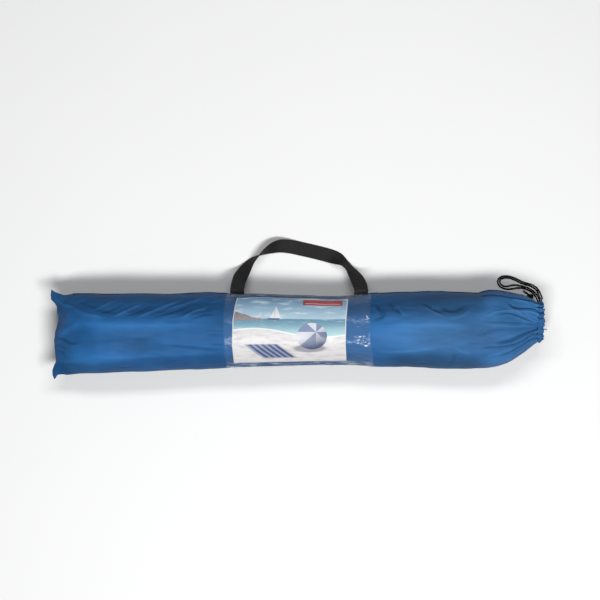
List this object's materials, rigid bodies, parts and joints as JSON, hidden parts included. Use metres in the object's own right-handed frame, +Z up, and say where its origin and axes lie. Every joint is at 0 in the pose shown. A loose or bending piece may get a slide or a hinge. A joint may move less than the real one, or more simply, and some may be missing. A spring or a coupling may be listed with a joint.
{
  "type": "packed beach tent",
  "caption": "Beach tent rolled up with its poles and pegs in a drawstring carry bag with a webbing handle and a clear label sleeve.",
  "frame": {"origin": "centre of the object's bounding box on the surface it lies on, drawcord ends left out", "axes": "+X along the bag to its gathered mouth, +Y to the side of the handle, +Z up through the label"},
  "size_m": [0.711, 0.2011, 0.0934],
  "materials": {
    "bag_cloth": "blue polyester taffeta with a satin sheen, creased and gathered",
    "drawcord": "black braided polyester cord",
    "clear_film": "clear plastic film, crinkled and glossy",
    "printed_card": "glossy printed card with a plain beach picture, no text",
    "webbing": "black polypropylene webbing, ribbed across",
    "thread": "black sewing thread",
    "canopy_cloth": "blue polyester with a coating",
    "groundsheet": "grey woven polyethylene",
    "fibreglass": "black fibreglass tube",
    "ferrule_steel": "plated steel",
    "elastic": "white shock cord",
    "peg_steel": "zinc-plated steel wire",
    "guy_line": "white polyester line"
  },
  "bodies": {
    "bag": {"bag_body": "bag_cloth", "bag_neck": "bag_cloth", "side_seam": "bag_cloth", "mouth_hem": "bag_cloth", "drawcord_in_hem": "drawcord", "drawcord_strand_a": "drawcord", "drawcord_strand_b": "drawcord", "drawcord_knot": "drawcord", "sleeve_film": "clear_film", "label_card": "printed_card", "handle_tab_left": "webbing", "handle_tab_right": "webbing", "handle_bar_tack_left": "thread", "handle_bar_tack_right": "thread", "canopy_roll": "canopy_cloth", "groundsheet": "groundsheet", "pole_a_section_1": "fibreglass", "pole_a_section_2": "fibreglass", "pole_a_section_3": "fibreglass", "pole_a_section_4": "fibreglass", "pole_b_section_1": "fibreglass", "pole_b_section_2": "fibreglass", "pole_b_section_3": "fibreglass", "pole_b_section_4": "fibreglass", "ferrule_a_1": "ferrule_steel", "ferrule_a_2": "ferrule_steel", "ferrule_a_3": "ferrule_steel", "ferrule_b_1": "ferrule_steel", "ferrule_b_2": "ferrule_steel", "ferrule_b_3": "ferrule_steel", "shock_cord_a": "elastic", "shock_cord_b": "elastic", "end_pin_a_start": "peg_steel", "end_pin_a_end": "peg_steel", "end_pin_b_start": "peg_steel", "end_pin_b_end": "peg_steel", "peg_1": "peg_steel", "peg_2": "peg_steel", "peg_3": "peg_steel", "peg_4": "peg_steel", "peg_5": "peg_steel", "peg_6": "peg_steel", "peg_7": "peg_steel", "guy_line_hank_1": "guy_line", "guy_line_hank_2": "guy_line"},
    "handle": {"handle_webbing": "webbing"},
    "loose_peg": {"loose_peg": "peg_steel"}
  },
  "joints": [
    {"name": "handle_swing", "type": "hinge", "parent": "bag", "child": "handle", "pos_m": [-0.0002, 0.02841, 0.044], "axis": [1, 0, 0], "range_deg": [0, 110]},
    {"name": "peg_draw", "type": "slide", "parent": "bag", "child": "loose_peg", "axis": [1, 0, 0], "range_m": [0, 0.15]}
  ]
}
